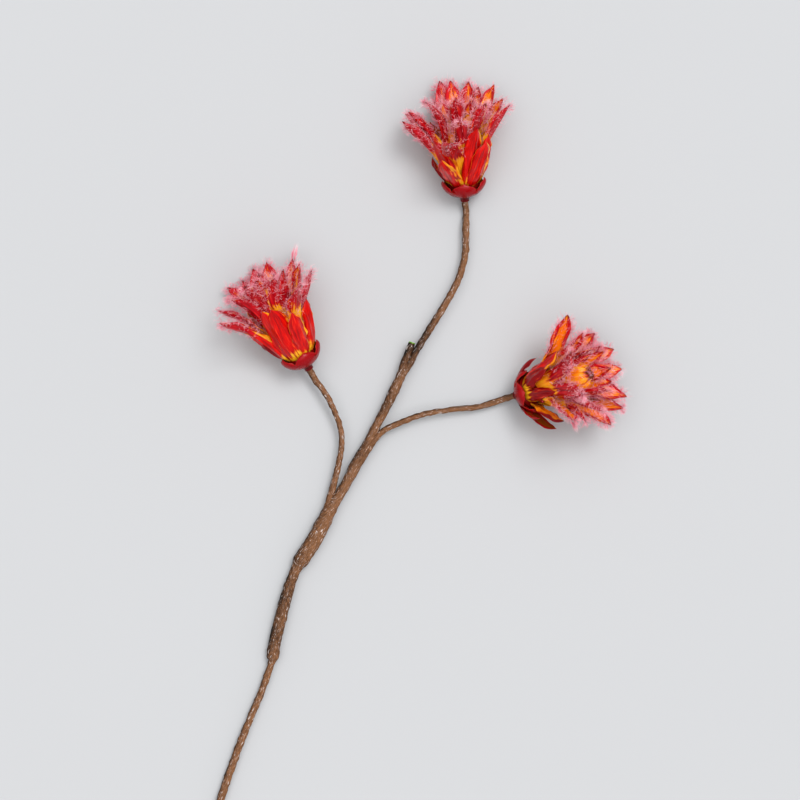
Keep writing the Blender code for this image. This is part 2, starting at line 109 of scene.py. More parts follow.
# A bloom's turn is added to its bracts' azimuth and its flare to their lean. Then come the petals
# that are placed one by one, by kind: azimuth, length, width, lean at the middle and the tip, roll
# about the spine and sway at the tip. The right bloom's petal at 8 degrees is turned further than
# its solid, so that its orange side shows.
BLOOMS = (
    Bloom("top", (0.0481, 0.2475, 0.0099), 95, 24, 44, -18, 0, {
        "sepal": ((359, 0.0319, 0.009, 33, 28, 25, 2),),
        "smooth": (
            (55, 0.0548, 0.014, 21, 50, 0, -6), (63, 0.0473, 0.012, 44, 46, 0, 2),
            (109, 0.0603, 0.0125, 13, 54, 0, 6), (125, 0.0512, 0.014, 27, 35, 0, 1),
            (158, 0.0471, 0.011, 16, 31, -25, -5),
        ),
        "hairy": (
            (172, 0.0707, 0.0125, 27, 57, -25, -6), (9, 0.0681, 0.0125, 36, 53, 35, 3),
            (4, 0.0711, 0.0125, 25, 57, 30, 8), (342, 0.066, 0.013, 33, 62, -20, 0),
            (22, 0.0786, 0.011, 9, 69, -10, 13), (71, 0.0694, 0.014, 45, 71, 0, 10),
            (93, 0.0721, 0.01, 24, 65, 0, -4),
        ),
        "inner": (
            (293, 0.0771, 0.0125, 26, 52, 0, -6), (300, 0.068, 0.012, 29, 62, 0, -8),
            (275, 0.0757, 0.013, 23, 55, 0, 0), (80, 0.0781, 0.01, 10, 63, 0, 4),
            (253, 0.0747, 0.013, 27, 55, 0, 1), (239, 0.0712, 0.013, 30, 54, 0, 4),
            (219, 0.0746, 0.0125, 30, 48, 0, 3), (206, 0.067, 0.012, 35, 57, 0, 3),
            (137, 0.0726, 0.012, 17, 60, 0, -6),
        ),
    }),
    Bloom("left", (-0.0744, 0.1157, 0.0173), 119, 22, 78, -12, -5, {
        "sepal": ((8, 0.036, 0.012, 26, 34, 25, 7),),
        "smooth": (
            (81, 0.0578, 0.015, 9, 42, 0, 4), (108, 0.052, 0.012, 23, 38, 0, 2),
            (159, 0.0482, 0.011, 18, 44, -25, -4), (17, 0.048, 0.0125, 20, 57, 25, 8),
            (59, 0.0594, 0.013, 5, 54, 0, 9),
        ),
        "hairy": (
            (130, 0.073, 0.0135, 28, 79, 0, -3), (63, 0.0873, 0.0125, 8, 77, 0, 9),
            (103, 0.0829, 0.014, 12, 78, 0, 2), (356, 0.0716, 0.012, 25, 60, 32, 6),
            (18, 0.0751, 0.01, 35, 58, 30, 15), (24, 0.079, 0.0125, 11, 69, 15, 13),
            (306, 0.0755, 0.01, 31, 73, 0, -4),
        ),
        "inner": (
            (290, 0.0711, 0.0125, 36, 72, 0, -4), (277, 0.0741, 0.013, 34, 66, 0, -6),
            (258, 0.0718, 0.0135, 29, 58, 0, -4), (124, 0.0797, 0.009, 19, 57, 0, 2),
            (223, 0.0686, 0.011, 33, 55, 0, -1), (206, 0.0643, 0.0125, 30, 55, 0, -2),
            (177, 0.0636, 0.012, 34, 59, -25, -6), (88, 0.0833, 0.013, 13, 67, 0, 0),
        ),
    }),
    Bloom("right", (0.09, 0.0932, 0.015), 17, 35, 145, 54, -3, {
        "claw": (
            (11, 0.0355, 0.0085, 32, 19, 45, -1), (180, 0.0415, 0.01, 50, 28, 45, -2),
            (148, 0.0336, 0.0095, 46, 32, 30, -1), (268, 0.03, 0.0095, 60, 36, 0, 0),
        ),
        "sepal": (
            (56, 0.039, 0.014, 20, 35, 0, -2), (164, 0.0399, 0.0105, 41, 36, 30, 1),
            (108, 0.0411, 0.012, 11, 36, 0, 2),
        ),
        "smooth": ((32, 0.0539, 0.012, 16, 60, 0, 8),),
        "hairy": (
            (8, 0.0696, 0.0135, 40, 53, -42, -3), (350, 0.0647, 0.01, 21, 44, -20, 9),
            (315, 0.0628, 0.013, 43, 61, 0, -7), (224, 0.0687, 0.013, 40, 61, 0, 1),
            (201, 0.0662, 0.011, 35, 65, 20, -7), (135, 0.064, 0.0115, 40, 64, 30, -1),
            (155, 0.0638, 0.01, 31, 70, -30, -11), (64, 0.0725, 0.0125, 20, 73, 0, -5),
            (112, 0.0719, 0.0125, 22, 59, 0, -1),
        ),
        "inner": (
            (300, 0.0665, 0.0135, 31, 47, 0, -11), (328, 0.0644, 0.0125, 13, 22, 0, 4),
            (270, 0.0671, 0.013, 27, 54, 0, -7), (237, 0.0693, 0.013, 30, 57, 0, -8),
            (138, 0.069, 0.012, 24, 50, 0, 20),
        ),
    }),
)

# Routes: the centre's x, y and z, and the radius there
STALK = (
    (-0.1738, -0.3404, 0.0029, 0.0033), (-0.1666, -0.3104, 0.0032, 0.0033),
    (-0.1555, -0.2668, 0.0038, 0.0032), (-0.1424, -0.2231, 0.0043, 0.0032),
    (-0.1337, -0.197, 0.0047, 0.0031), (-0.1217, -0.1654, 0.0052, 0.0029),
    (-0.1115, -0.1412, 0.0055, 0.0028), (-0.103, -0.117, 0.0058, 0.0027),
    (-0.1018, -0.1119, 0.006, 0.0052), (-0.0997, -0.0983, 0.0063, 0.0049),
    (-0.0921, -0.068, 0.0068, 0.0048), (-0.0867, -0.0505, 0.0071, 0.0041),
    (-0.0824, -0.041, 0.0073, 0.0044), (-0.0796, -0.0363, 0.0075, 0.0063),
    (-0.0693, -0.0203, 0.0078, 0.0062), (-0.0615, -0.0055, 0.0082, 0.0059),
    (-0.0558, 0.0055, 0.0084, 0.0051), (-0.0495, 0.0149, 0.0087, 0.004),
    (-0.0435, 0.0253, 0.0089, 0.004), (-0.0373, 0.0374, 0.0092, 0.0046),
    (-0.0318, 0.0472, 0.0094, 0.0043), (-0.0265, 0.0569, 0.0096, 0.0036),
    (-0.0193, 0.0716, 0.0098, 0.0035), (-0.0123, 0.085, 0.01, 0.0036),
    (-0.0078, 0.0944, 0.0101, 0.0041), (-0.0022, 0.1065, 0.0102, 0.0037),
    (0.0014, 0.1186, 0.0103, 0.0031), (0.0055, 0.1291, 0.0104, 0.003),
    (0.0073, 0.1338, 0.0104, 0.0025),
)
BRANCHES = {
    "top": (
        (-0.0051, 0.0991, 0.0102, 0.0026), (0.0012, 0.1104, 0.0104, 0.0027),
        (0.0066, 0.1195, 0.0106, 0.0027), (0.012, 0.1299, 0.0107, 0.0027),
        (0.0176, 0.1388, 0.0108, 0.0027), (0.0244, 0.1498, 0.0108, 0.0028),
        (0.0338, 0.165, 0.0106, 0.0028), (0.0427, 0.1817, 0.0102, 0.0027),
        (0.0473, 0.1966, 0.009, 0.0026), (0.049, 0.209, 0.008, 0.0028),
        (0.0491, 0.2246, 0.0071, 0.0028),
    ),
    "left": (
        (-0.0659, -0.0117, 0.0083, 0.0027), (-0.0612, -0.0016, 0.0086, 0.0027),
        (-0.0566, 0.014, 0.009, 0.0027), (-0.053, 0.0273, 0.0094, 0.0027),
        (-0.0495, 0.0421, 0.0098, 0.0024), (-0.0477, 0.0571, 0.0106, 0.0022),
        (-0.0495, 0.0696, 0.0115, 0.0022), (-0.054, 0.0819, 0.0124, 0.0022),
        (-0.0597, 0.0928, 0.0134, 0.0023),
    ),
    "right": (
        (-0.0335, 0.0398, 0.0093, 0.0025), (-0.0267, 0.0507, 0.0095, 0.0025),
        (-0.0215, 0.0585, 0.0098, 0.0025), (-0.0152, 0.0649, 0.0101, 0.0023),
        (-0.006, 0.0697, 0.0104, 0.0023), (0.0055, 0.0743, 0.0106, 0.0023),
        (0.0183, 0.0783, 0.0106, 0.0022), (0.0295, 0.0803, 0.0102, 0.0022),
        (0.0414, 0.0819, 0.0095, 0.0022), (0.0534, 0.0828, 0.0086, 0.0023),
        (0.0632, 0.0847, 0.0077, 0.0024),
    ),
}
NECK_RADIUS = 0.0026
NECK_RUN = 0.011
PEG_RADIUS = SOCKET_RADIUS - GAP
PEG_STEP = 1e-5

# Where the tape is stained dark: the middle, the reach and the strength of each stain
STAINS = (
    ((-0.094, -0.064, 0.007), 0.03, 0.5),
    ((-0.1, -0.096, 0.006), 0.02, 0.5),
    ((-0.079, -0.037, 0.007), 0.01, 0.3),
    ((-0.009, 0.085, 0.01), 0.018, 0.4),
    ((0.0073, 0.1338, 0.01), 0.034, 0.8),
    ((-0.032, 0.048, 0.009), 0.018, 0.3),
)

# The tape's creases are noise, read on a ring of this radius round a bar, which makes about eight
# of them, and at this many steps to a metre along it
CREASE_RING = 1.3
CREASES_ALONG = 260

# The side of a bar where shade is painted darkest, down and to the left, as an angle round it
# from its top. The opposite side, up and to the right, is painted lighter as a highlight.
PAINTED_SHADE_SIDE = math.radians(225)

# The marks that a form carries for its material, of three numbers each
MARKS = ("grain", "paint", "trait")

# How finely the pieces are drawn, and the angle in degrees from which an edge stays sharp
STATIONS = 30
SECTION = 13
CUP_SIDES = 56
CORE_SIDES = 28
STALK_SIDES = 28
BRANCH_SIDES = 20
RING_SPACING = 0.0012
SHARP_FROM = 50

# The kinds that carry fibres, with the share that each takes of the usual count
HAIRY = {"hairy": 1, "inner": 0.9, "heart": 0.7, "bud": 0.12}

# How much broader each kind is drawn than its plain solid, so that the soft pads overlap
BROADER = {"smooth": 1.22, "hairy": 1.18, "inner": 1.16, "heart": 1.1, "sepal": 1.1, "bract": 1.08}

# Petals whose fibres gather in one long tuft at the tip: bloom and azimuth
TUFTED = (("left", 223), ("right", 135))

# A petal with few fibres: bloom and azimuth, and the share of the usual count that it has
SPARSE = (("top", 71),)
SPARSE_SHARE = 0.2

# Fibres stand in this many clumps on a petal, with bare foam between them. Of all the fibres of a
# petal, these shares are in the tuft of a tufted one, on the margins, and on the outer face.
CLUMPS = 26
TUFT_SHARE = 0.12
MARGIN_SHARE = 0.66
OUTER_SHARE = 0.66

# Where along a fibre it is broadest, and the tones that fibres differ in, from dark to white
FIBRE_MIDDLE = 0.45
FIBRE_TONES = ((0, "7c0c30"), (0.3, "e2506f"), (0.65, "f9b8c2"), (1, "ffffff"))

# How high a fibre is kept over the floor
FLOOR_GAP = 0.0001

# How much red paint lies on the petals' inner faces
RED_WITHIN = {"top": 0.22, "left": 0.34, "right": 0.04}

# The core's swollen foot inside the cup's rim: inset from the rim, and height above it
FLESH = ((0.0002, 0.0012), (0.001, 0.0034), (0.0034, 0.0066))

# The share of a petal's length over which its tip rounds off, and where along it the tip's curl
# starts
TIP_ROUND = 0.2
HOOK_FROM = 0.7

# Two ripples run along a petal's margin: radians along it, shift with its tone, and height
RIPPLES = ((15, 40, 1), (31, -25, 0.6))

# The camera, with its lens and sensor in millimetres, sees 0.624 m of the spray in a square
# picture. Both lamps shine at the picture's centre too.
PICTURE_CENTRE = (-0.0023, 0.0889, 0.01)
LENS = 120
SENSOR = 36
KEY_PLACE = (0.45, 0.62, 1.55)
TOP_PLACE = (0.08, 0.2, 2.0)


def linear(hex_colour):
    """An sRGB hex value, such as c8141e, as linear red, green and blue."""
    parts = [int(hex_colour[i:i + 2], 16) / 255 for i in (0, 2, 4)]
    return tuple(c / 12.92 if c <= 0.04045 else ((c + 0.055) / 1.055) ** 2.4 for c in parts)


def size_setting(name, description, default):
    return FloatProperty(
        name=name, description=description, default=default, min=0, precision=5, unit="LENGTH"
    )


def colour_setting(name, description, hex_colour):
    return FloatVectorProperty(
        name=name, description=description, default=linear(hex_colour), size=3, min=0, max=1,
        subtype="COLOR",
    )


def strength_setting(name, description, default):
    return FloatProperty(name=name, description=description, default=default, min=0)


def spread_setting(name, description, degrees):
    return FloatProperty(
        name=name, description=description, default=math.radians(degrees), min=0, max=math.pi,
        subtype="ANGLE",
    )


class StalkSettings(bpy.types.PropertyGroup):
    pitch: size_setting("Tape pitch", "Length of stalk for each turn of the tape", 0.0105)
    edge: size_setting("Tape edge", "Height of the tape's overlapping edge", 0.00026)
    crease: size_setting("Creases", "Height of the tape's creases", 0.00055)
    tape: colour_setting("Tape", "Paper tape", "4a3222")
    # This lighter tape colour is partly real scuffing and partly a painted highlight on each bar's
    # top right side.
    worn_and_lit: colour_setting("Worn tape", "Tape where it is rubbed lighter", "93694a")
    # This dark tape colour is partly real stains and smears and partly painted shade on each bar's
    # bottom left side.
    stain_and_shade: colour_setting("Stained tape", "Tape where it is dark and damp-looking", "1f1710")
    fleck: colour_setting("Flecks", "Loose paper fibre and dried glue on the tape", "c9bdb8")
    cut: colour_setting("Cut tip", "Green middle of the stub's tip", "79b83a")


class BractSettings(bpy.types.PropertyGroup):
    thickness: size_setting("Thickness", "Thickness at the middle of a bract", 0.0018)
    hook: size_setting("Hook", "How far a bract's tip curls in", 0.0022)
    wave: size_setting("Wave", "How far a bract's margin waves", 0.0006)
    face: colour_setting("Face", "Outer face of the bracts", "9c0814")
    rim: colour_setting("Rim", "Brighter rim of the bracts", "c81e2c")
    # This shade colour is painted shade towards each bract's root, and also the stains that differ
    # from bract to bract and are heavier on the claws.
    dark: colour_setting("Shade", "Dark stain on the bracts", "2e0407")
    lining: colour_setting("Lining", "Inner face of the bracts", "8a4a12")


class PetalSettings(bpy.types.PropertyGroup):
    thickness: size_setting("Thickness", "Thickness at the middle of a petal", 0.0028)
    hook: size_setting("Hook", "How far a petal's tip curls in", 0.0028)
    wave: size_setting("Wave", "How far a petal's margin waves", 0.0011)
    groove: size_setting("Groove", "Depth of the lengthwise folds", 0.00085)
    yellow: colour_setting("Yellow", "Foot and margins of the petals", "f9bb2d")
    orange: colour_setting("Orange", "Inner face of the petals", "ef7a14")
    red: colour_setting("Red", "Paint on the smooth petals", "d8140e")
    crimson: colour_setting("Crimson", "Paint on the hairy petals", "cc1022")
    sepal: colour_setting("Sepals", "Paint on the short dark sepals", "94080c")
    # This pale colour is a painted highlight, laid in streaks along the petals.
    highlight_paint: colour_setting("Rubbed paint", "Paint where it is rubbed thin", "ff5a3c")
    # Besides the dark tips, this colour paints shade in dark streaks along the petals.
    tip: colour_setting("Tip", "Dark tips and streaks of the petals", "640818")
    # The core's dark colour is painted shade, for the hollow seen between the petals.
    core: colour_setting("Core", "Deep middle of the head", "7a0e0c")


class FibreSettings(bpy.types.PropertyGroup):
    count: IntProperty(
        name="Fibres", description="Fibres on each hairy petal", default=400, min=0, max=1300
    )
    length: size_setting("Length", "Length of the longest usual fibre", 0.0074)
    radius: size_setting("Radius", "Radius at a fibre's middle", 0.00015)
    # The root colour is painted shade, where the fibres crowd over the petal.
    root: colour_setting("Root", "Colour at a fibre's root", "8a0c34")
    middle: colour_setting("Middle", "Colour halfway along a fibre", "f27f98")
    end: colour_setting("End", "Colour at a fibre's tip", "ffe4e8")


class StageSettings(bpy.types.PropertyGroup):
    floor: colour_setting("Floor", "Pale studio floor", "bbbcbe")
    floor_side: size_setting("Floor side", "Side of the square floor", 40.0)
    camera_height: size_setting("Camera height", "Camera's height above the stalk", 2.08)
    key: strength_setting("Key light", "Strength of the light at the upper right", 1.15)
    key_spread: spread_setting("Key spread", "How broad the key light looks from the floor", 24)
    top: strength_setting("Top light", "Strength of the broad light overhead", 1.45)
    top_spread: spread_setting("Top spread", "How broad the top light looks from the floor", 80)
    room: strength_setting("Room light", "Strength of the even light", 0.46)


class Shell:
    """Gathers closed forms, and the marks that their material reads, into one mesh."""

    def __init__(self):
        self.forms = []

    def add(self, points, faces, grain, paint, trait):
        """Adds a form with its marks at each point. One that looks inwards is turned."""
        a, b, c = (points[faces[:, k]] for k in range(3))
        if np.einsum("ij,ij->", a - points.mean(0), np.cross(b - a, c - a)) < 0:
            faces = faces[:, ::-1]
        marks = [np.broadcast_to(mark, points.shape) for mark in (grain, paint, trait)]
        self.forms.append((points, faces, *marks))

    def lay(self, bloom):
        """Moves all forms from the bloom's own frame to the spray's, pressed flat at the floor."""
        self.forms = [(on_floor(to_spray(bloom, points)), *rest) for points, *rest in self.forms]

    def build(self, name):
        if not self.forms:
            raise RuntimeError(f"{name} has no forms to build")
        counts = np.cumsum([0] + [len(form[0]) for form in self.forms])
        faces = np.concatenate([form[1] + n for form, n in zip(self.forms, counts)])
        points, *marks = (np.concatenate([form[k] for form in self.forms]) for k in (0, 2, 3, 4))
        mesh = bpy.data.meshes.new(name)
        mesh.from_pydata(points.tolist(), [], faces.tolist())
        mesh.shade_smooth()
        mesh.set_sharp_from_angle(angle=math.radians(SHARP_FROM))
        for label, mark in zip(MARKS, marks):
            attribute = mesh.attributes.new(label, "FLOAT_VECTOR", "POINT")
            attribute.data.foreach_set("vector", mark.astype(np.float32).ravel())
        return add_object(name, mesh)


def add_object(name, data):
    obj = bpy.data.objects.new(name, data)
    bpy.context.scene.collection.objects.link(obj)
    return obj


def columns(*parts):
    return np.stack(np.broadcast_arrays(*parts), -1)


def ease(low, high, value):
    """0 below low and 1 above high, with a smooth rise between them."""
    share = np.clip((value - low) / (high - low), 0, 1)
    return share * share * (3 - 2 * share)


def loft_faces(stations, ring):
    """Triangles over rings of points, closed at both ends by the two points that follow them."""
    k = np.arange(ring)
    after = (k + 1) % ring
    row = np.arange(stations - 1)[:, None] * ring
    a, b = row + k, row + after
    sides = np.stack((a, b, b + ring, a, b + ring, a + ring), -1).reshape(-1, 3)
    last = (stations - 1) * ring
    first_end = columns(after, k, stations * ring)
    last_end = columns(last + k, last + after, stations * ring + 1)
    return np.concatenate((sides, first_end, last_end))


def lean_at(lean, along):
    """The curve through the leans at root, middle and tip, in radians."""
    root, middle, tip = lean
    return np.radians(
        root * (1 - along) * (1 - 2 * along)
        + 4 * middle * along * (1 - along)
        + tip * along * (2 * along - 1)
    )


def spine_of(petal):
    """Radius, height and lean of a petal's spine at equal steps from its root."""
    kind = KINDS[petal.kind]
    leans = (kind.lean, petal.middle, petal.tip)
    steps = np.arange(SPINE_STEPS + 1) / SPINE_STEPS
    middle = lean_at(leans, steps[:-1] + 0.5 / SPINE_STEPS)
    step = petal.length / SPINE_STEPS
    radius = kind.radius + step * np.concatenate(([0], np.cumsum(np.sin(middle))))
    height = kind.height + step * np.concatenate(([0], np.cumsum(np.cos(middle))))
    return steps, radius, height, lean_at(leans, steps)


def tip_round(along):
    """Falls from 1 to 0 in a blunt point over the petal's last stretch."""
    past = np.clip((along - 1 + TIP_ROUND) / TIP_ROUND, 0, 1)
    return (1 - past**1.8) ** 0.7


def half_width(petal, along):
    """Half a petal's width: it grows to where its kind is widest, then tapers to a round tip."""
    kind = KINDS[petal.kind]
    rise = kind.root + (1 - kind.root) * np.sin(math.pi / 2 * np.minimum(along / kind.widest, 1))
    past = np.clip((along - kind.widest) / (1 - kind.widest), 0, 1)
    taper = np.maximum((1 - past ** kind.taper[0]) ** kind.taper[1], kind.tip)
    half = petal.width / 2 * BROADER.get(petal.kind, 1)
    return half * np.where(along < kind.widest, rise, taper) * tip_round(along)


def petal_surface(petal, along, across, hook, wave=0.0, groove=0.0):
    """Middle surface of a petal: points, and the directions in, sideways and towards the tip."""
    steps, radii, heights, leans = spine_of(petal)
    radius = np.interp(along, steps, radii)[..., None]
    height = np.interp(along, steps, heights)[..., None]
    lean = np.interp(along, steps, leans)[..., None]
    azimuth = np.radians(petal.azimuth + petal.sway * along**2)
    outward = columns(np.cos(azimuth), np.sin(azimuth), 0)
    sideways = columns(-np.sin(azimuth), np.cos(azimuth), 0)
    up = np.array((0, 0, 1))
    inward = up * np.sin(lean) - outward * np.cos(lean)
    onward = up * np.cos(lean) + outward * np.sin(lean)
    roll = np.radians(petal.roll * along)[..., None]
    side = sideways * np.cos(roll) + inward * np.sin(roll)
    face = inward * np.cos(roll) - sideways * np.sin(roll)
    fold = math.radians(KINDS[petal.kind].fold)
    turn = (fold * across)[..., None]
    ripple = sum(size * np.sin(along * run + petal.tone * shift) for run, shift, size in RIPPLES)
    half = half_width(petal, along)
    half = (half + 0.5 * wave * ripple * np.minimum(1, half / 0.003) * along)[..., None]
    point = outward * radius + up * height
    point = point + side * half * np.sin(turn) / fold + face * half * (1 - np.cos(turn)) / fold
    normal = face * np.cos(turn) - side * np.sin(turn)
    curl = np.clip((along - HOOK_FROM) / (1 - HOOK_FROM), 0, 1)[..., None] ** 2
    point = point + (face - onward / 2) * hook * curl
    rim = wave * np.abs(across) ** 3 * np.sin(math.pi * along) * ripple
    folds = np.cos(across * 7.5 + 3 * petal.tone + 1.2 * np.sin(along * 5 + 9 * petal.tone))
    rim = rim + groove * folds * ease(0.1, 0.4, along) * ease(0, 0.3, 1 - along)
    return point + normal * rim[..., None], normal, side, onward


def petal_paint(petal, along, across, inner, red_within):
    """How orange the ground is, how much paint covers it, and how dark its tip is.

    Each ease runs over a span of the petal's length or half width. The tone shifts most of them,
    so that no two petals are painted alike.
    """
    shift = petal.tone - 0.5
    margin = ease(0.5, 0.95, np.abs(across + 0.5 * shift))
    if petal.kind == "smooth":
        foot = ease(0, 0.36, along + 0.35 * shift)
        lit = ease(0.45, 0.95, across + 0.5 * shift) + 0.5 * ease(0.8, 1, -across)
        outer = foot * (1 - 0.9 * lit) + 0.1
        lining = 0.6 * ease(0.6, 1, along)
        tip = 0.45 * ease(0.88, 1, along)
    elif petal.kind == "sepal":
        outer = ease(0.08, 0.45, along)
        lining = 0.5 * ease(0.4, 0.9, along) + 0.3 * margin
        tip = 0.7 * ease(0.75, 1, along)
    elif petal.kind == "bud":
        outer = 0.1 * margin + 0.6 * ease(0.74, 1, along)
        lining = 0.2 * margin
        tip = 0.9 * ease(0.78, 1, along)
    else:
        foot = ease(0.3, 0.58, along + 0.2 * shift)
        outer = ease(0.38, 0.62, along + 0.2 * shift) * (1 - 0.25 * margin)
        rim = ease(0.35, 0.85, np.abs(across + 0.4 * shift))
        lining = red_within + 0.75 * rim * foot + 0.5 * ease(0.75, 0.98, along + 0.15 * shift)
        tip = 0.75 * ease(0.88, 1, along + 0.04 * shift)
    warm = ease(0.1, 0.7, along + 0.5 * shift) * (0.6 + 0.4 * inner)
    return columns(warm, outer * (1 - inner) + np.minimum(lining, 1) * inner, tip)


def bract_paint(petal, along, across, inner):
    """How bright the rim is, how dark the face is, and where the lining is. The face is darkened
    by painted shade towards the root, and by stains that vary with the tone and are heavier on the
    claws.
    """
    rim = 0.6 * ease(0.8, 1, np.abs(across)) * ease(0.3, 0.8, along) + 0.5 * ease(0.9, 1, along)
    # Painted shade darkens each bract towards its root by the cup; the tone and the claws add
    # stains.
    stain_and_shade = 0.6 * (1 - ease(0, 0.6, along)) + 0.5 * petal.tone + 0.3 * (petal.kind == "claw")
    if petal.kind == "claw":
        inner = inner * (1 - ease(0.45, 0.8, np.abs(across)))
    return columns(np.minimum(rim, 1), np.minimum(stain_and_shade, 1), inner)


def add_petal(shell, petal, paint, settings, groove=0.0):
    """One petal as a closed form: lens-shaped across, with round margins and a round tip."""
    corner = math.pi * np.arange(2 * SECTION - 2) / (SECTION - 1)
    # The stations stand closer together towards the tip
    along = 1 - (1 - np.arange(STATIONS) / STATIONS) ** 1.25
    along, across, bulge = np.broadcast_arrays(
        along[:, None], -np.cos(corner)[None, :], -np.sin(corner)[None, :]
    )
    middle, normal, _, _ = petal_surface(
        petal, along, across, settings.hook, settings.wave, groove
    )
    depth = settings.thickness / 2 * (0.65 + 0.35 * np.sin(math.pi * along)) * tip_round(along)
    points = (middle + normal * (depth * bulge)[..., None]).reshape(-1, 3)
    ends = petal_surface(petal, np.array((0.0, 1.0)), np.zeros(2), settings.hook)[0]
    along = np.append(along.ravel(), (0, 1))
    across = np.append(across.ravel(), (0, 0))
    inner = ease(-0.25, 0.25, np.append(bulge.ravel(), (0, 0)))
    shell.add(
        np.concatenate((points, ends)), loft_faces(STATIONS, len(corner)),
        columns(along * petal.length, across * petal.width / 2, petal.tone + inner),
        paint(petal, along, across, inner),
        (petal.kind in HAIRY, petal.kind == "sepal", petal.tone),
    )


def add_turned(shell, outline, sides, trait):
    """A turned form. Its outline of (radius, height) starts and ends on the axis."""
    rings = np.array(outline[1:-1])
    turn = math.tau * np.arange(sides) / sides
    points = columns(rings[:, :1] * np.cos(turn), rings[:, :1] * np.sin(turn), rings[:, 1:])
    ends = np.array(((0, 0, outline[0][1]), (0, 0, outline[-1][1])))
    points = np.concatenate((points.reshape(-1, 3), ends))
    around = np.arctan2(points[:, 1], points[:, 0]) * rings[:, 0].max()
    grain = columns(points[:, 2], around, 0)
    shell.add(points, loft_faces(len(rings), sides), grain, (0, 0.9, 0), trait)


def whorl_petals(whorl, turn, draw):
    """The petals of one whorl, evenly spaced and then each let stray a little."""
    made = []
    for i in range(whorl.count):
        azimuth, length, lean, roll, sway = (
            whorl.loose * amount * draw.uniform(-1, 1) for amount in STRAY
        )
        made.append(Petal(
            whorl.kind, turn + whorl.first + whorl.span * (i + 0.5) / whorl.count + azimuth,
            whorl.length * (1 + length), whorl.width, whorl.middle + lean / 2, whorl.tip + lean,
            roll, sway, 0.5 + 0.5 * length / (whorl.loose * STRAY[1]),
        ))
    return made


def placed_petals(bloom, claws):
    """The claws, or all else, that are placed one by one. Tone, from 0 to 1, sets each apart."""
    return [
        Petal(kind, *row, row[0] * 7 % 90 / 90)
        for kind, rows in bloom.placed.items() if (kind == "claw") == claws
        for row in rows
    ]


def bloom_petals(bloom):
    """Every petal of a bloom's head: those placed one by one, then the whorls that fill it."""
    draw = random.Random(bloom.seed)
    petals = placed_petals(bloom, False)
    for whorl in WHORLS:
        petals += whorl_petals(whorl, 0, draw)
    return petals


def bloom_bracts(bloom):
    """The short bracts round the cup and the long ones placed one by one."""
    draw = random.Random(bloom.seed)
    middle = BRACTS.middle + bloom.flare / 2
    ring = BRACTS._replace(middle=middle, tip=BRACTS.tip + bloom.flare)
    return whorl_petals(ring, bloom.turn, draw) + placed_petals(bloom, True)


def cup_line(inset):
    """(radius, height) of the cup's turned wall, set in from the bracts' spine by inset."""
    bract = Petal("bract", 0, BRACTS.length, BRACTS.width, BRACTS.middle, BRACTS.tip, 0, 0, 0)
    _, radius, height, lean = spine_of(bract)
    return [
        (radius[k] - inset * math.cos(lean[k]), height[k] + inset * math.sin(lean[k]))
        for k in CUP_STEPS
    ]


def axis_of(bloom):
    heading = math.radians(bloom.heading)
    tilt = math.radians(bloom.tilt)
    flat = math.cos(tilt)
    return Vector((flat * math.cos(heading), flat * math.sin(heading), math.sin(tilt)))


def to_spray(bloom, points):
    """Points in the spray's frame. In the bloom's, +Z is its axis and +Y is on its upper side."""
    axis = axis_of(bloom)
    upper = (Vector((0, 0, 1)) - axis * axis.z).normalized()
    turn = np.array(Matrix((upper.cross(axis), upper, axis)))
    return points @ turn + np.array(bloom.base)


def on_floor(points):
    """Flattens what would sink into the floor, as the plain solids are."""
    return columns(points[:, 0], points[:, 1], np.maximum(points[:, 2], 0))


def smooth_route(route):
    """(centre, radius) along a Catmull-Rom curve through the route's points."""
    points = [Vector(p[:3]) for p in route]
    ends = [2 * points[0] - points[1]] + points + [2 * points[-1] - points[-2]]
    out = []
    for i in range(len(route) - 1):
        a, b, c, d = ends[i:i + 4]
        steps = max(1, round((c - b).length / RING_SPACING))
        for k in range(steps):
            t = k / steps
            centre = 0.5 * (
                2 * b + (c - a) * t + (2 * a - 5 * b + 4 * c - d) * t**2
                + (3 * b - a - 3 * c + d) * t**3
            )
            out.append((centre, route[i][3] + (route[i + 1][3] - route[i][3]) * t))
    out.append((points[-1], route[-1][3]))
    return out


def branch_rings(bloom):
    """A branch's rings, up to the shoulder under its bloom's collar, and the peg in its socket."""
    axis = axis_of(bloom)
    base = Vector(bloom.base)
    shoulder = base - axis * (COLLAR_LENGTH + GAP)
    below = shoulder - axis * NECK_RUN
    route = BRANCHES[bloom.name] + ((*below, NECK_RADIUS), (*shoulder, NECK_RADIUS))
    peg_top = base + axis * (SOCKET_TOP - GAP)
    return smooth_route(route) + [(shoulder + axis * PEG_STEP, PEG_RADIUS), (peg_top, PEG_RADIUS)]


def stain_at(point):
    return max(
        strength * max(0.0, 1 - (point - Vector(middle)).length / reach)
        for middle, reach, strength in STAINS
    )


